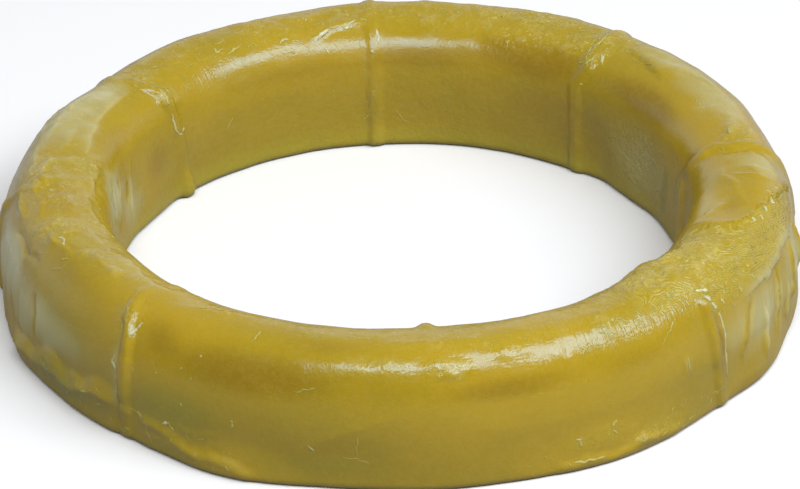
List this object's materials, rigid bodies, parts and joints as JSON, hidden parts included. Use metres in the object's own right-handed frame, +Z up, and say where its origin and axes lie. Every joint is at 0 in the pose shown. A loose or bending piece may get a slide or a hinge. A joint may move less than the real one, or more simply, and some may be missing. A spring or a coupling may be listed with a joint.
{
  "type": "toilet pan seal",
  "caption": "Soft wax ring with a crowned section, mould ribs across it and a flat foot, pressed between a closet pan's outlet and the soil pipe's flange to seal the joint.",
  "frame": {"origin": "centre of the flat foot, on the ring's axis, where it rests", "axes": "+Z up along the ring's axis, from the flat foot to the crown; -Y is the side of the first mould rib, which faces the viewer"},
  "size_m": [0.1339, 0.1343, 0.0235],
  "materials": {
    "wax": "soft translucent petroleum wax, olive yellow, satin, handled and smeared"
  },
  "bodies": {
    "root": {"wax_ring": "wax"}
  },
  "joints": []
}
